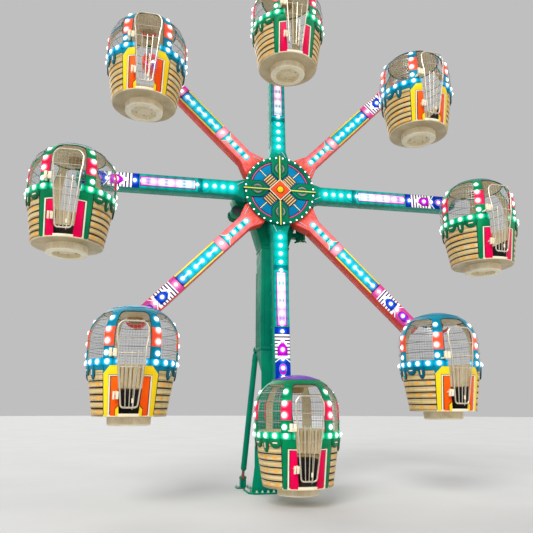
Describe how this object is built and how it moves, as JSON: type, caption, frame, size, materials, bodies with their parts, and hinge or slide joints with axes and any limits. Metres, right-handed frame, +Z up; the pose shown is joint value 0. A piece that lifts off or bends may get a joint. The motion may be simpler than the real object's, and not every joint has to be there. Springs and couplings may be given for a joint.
{
  "type": "ferris wheel",
  "caption": "Compact one-sided fairground wheel on a bolted steel mast, with box arms and round cage cabins that hang level",
  "frame": {"origin": "middle of the base flange's underside", "axes": "+Z up the mast, the wheel's face and the cabin doors look towards -Y, +X to the right seen from the front"},
  "size_m": [9.8792, 3.2352, 10.511],
  "materials": {
    "green_paint": "gloss green enamel on welded steel",
    "coral_paint": "gloss coral-red enamel on welded steel",
    "blue_paint": "gloss sky-blue enamel",
    "pink_paint": "gloss hot-pink enamel",
    "orange_paint": "gloss orange enamel",
    "yellow_paint": "gloss lemon-yellow enamel",
    "gold_panels": "moulded shell, ribbed panels in aged silver and gold",
    "cream_gelcoat": "cream moulded surface",
    "black_gap": "dark seams and grooves",
    "bright_wire": "bright wire mesh and hoops",
    "door_steel": "bare tubular steel",
    "dark_steel": "oiled dark steel",
    "rusty_steel": "rusty bare rod",
    "lamp_white": "lit frosted lamp cover",
    "lamp_strip": "printed back-lit light panel"
  },
  "bodies": {
    "root": {"base_flange": "green_paint", "lower_mast": "green_paint", "upper_mast": "green_paint", "mast_head": "green_paint", "slewing_ring": "dark_steel", "left_drive": "green_paint", "right_drive": "green_paint", "left_prop": "green_paint", "left_prop_foot": "green_paint", "right_prop": "green_paint", "right_prop_foot": "green_paint"},
    "wheel": {"wheel_hub": "green_paint", "hub_disc": "green_paint", "arm_1": "green_paint", "arm_2": "coral_paint", "arm_3": "green_paint", "arm_4": "coral_paint", "arm_5": "green_paint", "arm_6": "coral_paint", "arm_7": "green_paint", "arm_8": "coral_paint"},
    "cabin_1": {"cabin_1_tub": "gold_panels", "cabin_1_cage": "green_paint"},
    "door_1": {"cabin_1_door": "door_steel"},
    "cabin_2": {"cabin_2_tub": "gold_panels", "cabin_2_cage": "blue_paint"},
    "door_2": {"cabin_2_door": "door_steel"},
    "cabin_3": {"cabin_3_tub": "gold_panels", "cabin_3_cage": "green_paint"},
    "door_3": {"cabin_3_door": "door_steel"},
    "cabin_4": {"cabin_4_tub": "gold_panels", "cabin_4_cage": "blue_paint"},
    "door_4": {"cabin_4_door": "door_steel"},
    "cabin_5": {"cabin_5_tub": "gold_panels", "cabin_5_cage": "green_paint"},
    "door_5": {"cabin_5_door": "door_steel"},
    "cabin_6": {"cabin_6_tub": "gold_panels", "cabin_6_cage": "blue_paint"},
    "door_6": {"cabin_6_door": "door_steel"},
    "cabin_7": {"cabin_7_tub": "gold_panels", "cabin_7_cage": "green_paint"},
    "door_7": {"cabin_7_door": "door_steel"},
    "cabin_8": {"cabin_8_tub": "gold_panels", "cabin_8_cage": "blue_paint"},
    "door_8": {"cabin_8_door": "door_steel"}
  },
  "joints": [
    {"name": "wheel_turn", "type": "hinge", "parent": "root", "child": "wheel", "pos_m": [0, -0.675, 6.25], "axis": [0, 1, 0], "continuous": true},
    {"name": "cabin_1_swing", "type": "hinge", "parent": "wheel", "child": "cabin_1", "pos_m": [4.13956, -1.682, 6.31069], "axis": [0, 1, 0], "continuous": true},
    {"name": "cabin_1_door_hinge", "type": "hinge", "parent": "cabin_1", "child": "door_1", "pos_m": [3.85456, -2.504, 5.49069], "axis": [0.1304, 0.163, -0.978], "range_deg": [0, 100]},
    {"name": "cabin_2_swing", "type": "hinge", "parent": "wheel", "child": "cabin_2", "pos_m": [2.88419, -1.682, 9.22002], "axis": [0, 1, 0], "continuous": true},
    {"name": "cabin_2_door_hinge", "type": "hinge", "parent": "cabin_2", "child": "door_2", "pos_m": [2.59919, -2.504, 8.40002], "axis": [0.1304, 0.163, -0.978], "range_deg": [0, 100]},
    {"name": "cabin_3_swing", "type": "hinge", "parent": "wheel", "child": "cabin_3", "pos_m": [-0.06069, -1.682, 10.38956], "axis": [0, 1, 0], "continuous": true},
    {"name": "cabin_3_door_hinge", "type": "hinge", "parent": "cabin_3", "child": "door_3", "pos_m": [-0.34569, -2.504, 9.56956], "axis": [0.1304, 0.163, -0.978], "range_deg": [0, 100]},
    {"name": "cabin_4_swing", "type": "hinge", "parent": "wheel", "child": "cabin_4", "pos_m": [-2.97002, -1.682, 9.13419], "axis": [0, 1, 0], "continuous": true},
    {"name": "cabin_4_door_hinge", "type": "hinge", "parent": "cabin_4", "child": "door_4", "pos_m": [-3.25502, -2.504, 8.31419], "axis": [0.1304, 0.163, -0.978], "range_deg": [0, 100]},
    {"name": "cabin_5_swing", "type": "hinge", "parent": "wheel", "child": "cabin_5", "pos_m": [-4.13956, -1.682, 6.18931], "axis": [0, 1, 0], "continuous": true},
    {"name": "cabin_5_door_hinge", "type": "hinge", "parent": "cabin_5", "child": "door_5", "pos_m": [-4.42456, -2.504, 5.36931], "axis": [0.1304, 0.163, -0.978], "range_deg": [0, 100]},
    {"name": "cabin_6_swing", "type": "hinge", "parent": "wheel", "child": "cabin_6", "pos_m": [-2.88419, -1.682, 3.27998], "axis": [0, 1, 0], "continuous": true},
    {"name": "cabin_6_door_hinge", "type": "hinge", "parent": "cabin_6", "child": "door_6", "pos_m": [-3.16919, -2.504, 2.45998], "axis": [0.1304, 0.163, -0.978], "range_deg": [0, 100]},
    {"name": "cabin_7_swing", "type": "hinge", "parent": "wheel", "child": "cabin_7", "pos_m": [0.06069, -1.682, 2.11044], "axis": [0, 1, 0], "continuous": true},
    {"name": "cabin_7_door_hinge", "type": "hinge", "parent": "cabin_7", "child": "door_7", "pos_m": [-0.22431, -2.504, 1.29044], "axis": [0.1304, 0.163, -0.978], "range_deg": [0, 100]},
    {"name": "cabin_8_swing", "type": "hinge", "parent": "wheel", "child": "cabin_8", "pos_m": [2.97002, -1.682, 3.36581], "axis": [0, 1, 0], "continuous": true},
    {"name": "cabin_8_door_hinge", "type": "hinge", "parent": "cabin_8", "child": "door_8", "pos_m": [2.68502, -2.504, 2.54581], "axis": [0.1304, 0.163, -0.978], "range_deg": [0, 100]}
  ],
  "couplings": [
    {"joint": "cabin_1_swing", "follows": "wheel_turn", "ratio": -1},
    {"joint": "cabin_2_swing", "follows": "wheel_turn", "ratio": -1},
    {"joint": "cabin_3_swing", "follows": "wheel_turn", "ratio": -1},
    {"joint": "cabin_4_swing", "follows": "wheel_turn", "ratio": -1},
    {"joint": "cabin_5_swing", "follows": "wheel_turn", "ratio": -1},
    {"joint": "cabin_6_swing", "follows": "wheel_turn", "ratio": -1},
    {"joint": "cabin_7_swing", "follows": "wheel_turn", "ratio": -1},
    {"joint": "cabin_8_swing", "follows": "wheel_turn", "ratio": -1}
  ]
}
